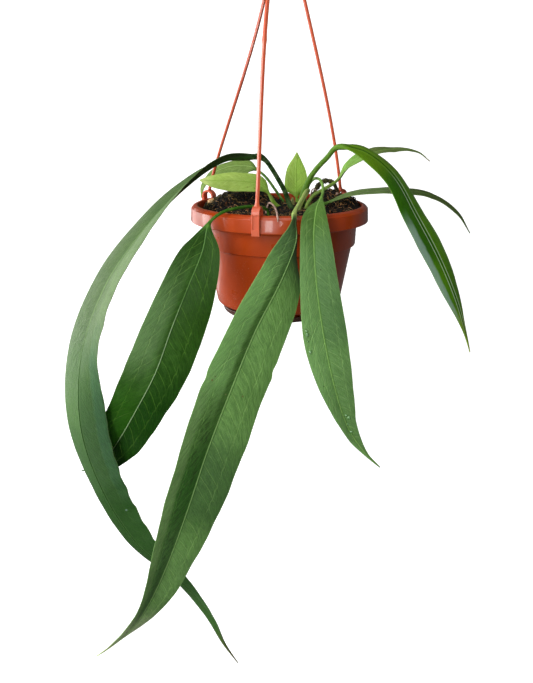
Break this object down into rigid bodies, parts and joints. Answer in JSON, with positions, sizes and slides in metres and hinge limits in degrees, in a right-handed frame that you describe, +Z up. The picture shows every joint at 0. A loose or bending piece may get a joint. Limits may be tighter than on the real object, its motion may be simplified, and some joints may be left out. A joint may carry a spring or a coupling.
{
  "type": "potted anthurium vittariifolium",
  "caption": "Strap-leaved anthurium growing in a round plastic pot that hangs by moulded rods, with long narrow leaves arching over the rim and trailing below the pot.",
  "frame": {"origin": "the underside of the top of the hanger's hook, where it bears on what holds it", "axes": "+Z up along the pot's axis, -Y towards the viewer of the picture, +X to the right"},
  "size_m": [0.3424, 0.2437, 0.6563],
  "materials": {
    "pot_plastic": "smooth moulded terracotta-coloured plastic, satin gloss",
    "tray_plastic": "smooth moulded plastic, duller and darker than the pot",
    "hanger_plastic": "moulded terracotta-coloured plastic, satin gloss",
    "soil": "loose dark bark, peat and coir mix, matt",
    "crown": "green stem with dry papery sheaths",
    "leaf_grey_green": "leathery leaf, soft sheen",
    "leaf_dark_green": "leathery leaf with lighter veins, soft sheen",
    "leaf_mid_green": "leathery leaf with a pale midrib, soft sheen",
    "leaf_bright_green": "glossy leathery leaf",
    "leaf_light_green": "light green leaf, soft sheen",
    "leaf_young_green": "young soft yellow-green leaf",
    "pale_root": "pale matt aerial root",
    "mossy_root": "dark root covered in moss, matt"
  },
  "bodies": {
    "root": {"pot": "pot_plastic", "drip_tray": "tray_plastic", "hanger_hook": "hanger_plastic", "hanger_rod_front": "hanger_plastic", "hanger_rod_left": "hanger_plastic", "hanger_rod_right": "hanger_plastic", "soil": "soil", "crown": "crown", "leaf_long_left": "leaf_grey_green", "leaf_broad_left": "leaf_dark_green", "leaf_broad_front": "leaf_mid_green", "leaf_front_right": "leaf_mid_green", "leaf_arch_right": "leaf_bright_green", "leaf_back_right": "leaf_light_green", "leaf_strap_right": "leaf_grey_green", "leaf_back_left": "leaf_grey_green", "leaf_young_left": "leaf_young_green", "leaf_young_upright": "leaf_young_green", "aerial_root": "pale_root", "moss_root": "mossy_root"}
  },
  "joints": []
}
